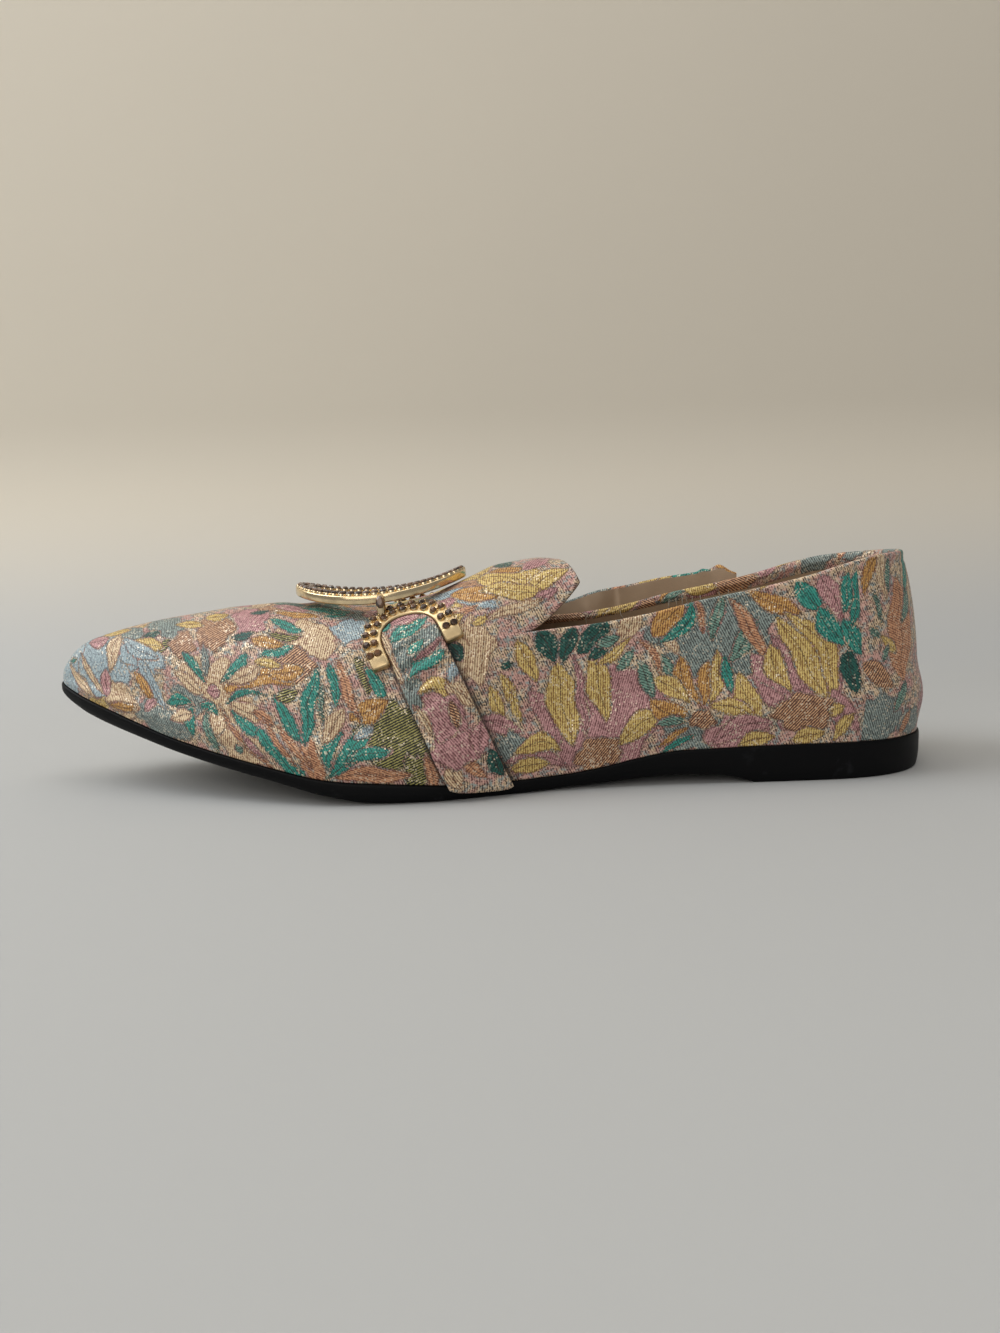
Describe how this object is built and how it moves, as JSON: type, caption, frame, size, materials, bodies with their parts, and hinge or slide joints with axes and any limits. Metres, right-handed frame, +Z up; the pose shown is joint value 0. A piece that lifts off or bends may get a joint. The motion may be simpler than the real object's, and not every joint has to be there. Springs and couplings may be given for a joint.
{
  "type": "pointed flat shoe",
  "caption": "Pointed slip-on flat with a floral brocade upper, tongue, low heel, side straps and a stone-set oval buckle ornament.",
  "frame": {"origin": "on the floor under the middle of the heel seat, on the flat bottom of the heel", "axes": "-X along the shoe towards the toe, +X to the back of the heel, -Y to the outer side of the foot, +Z up"},
  "size_m": [0.2635, 0.0797, 0.0645],
  "materials": {
    "sole_rubber": "satin black moulded rubber, lightly scuffed",
    "lining": "tan synthetic leather lining and sock, matt",
    "brocade": "woven floral jacquard with a metallic thread, teal, mustard, mauve and cream",
    "gold": "polished pale gold plating",
    "stones": "faceted dark brown stones",
    "thread": "pale stitching and frayed yarn ends"
  },
  "bodies": {
    "root": {"outsole": "sole_rubber", "insole": "lining", "upper": "brocade", "strap_outer": "brocade", "strap_inner": "brocade", "collar_fold": "brocade", "horseshoe_outer": "gold", "horseshoe_inner": "gold", "ornament_ring": "gold"}
  },
  "joints": []
}
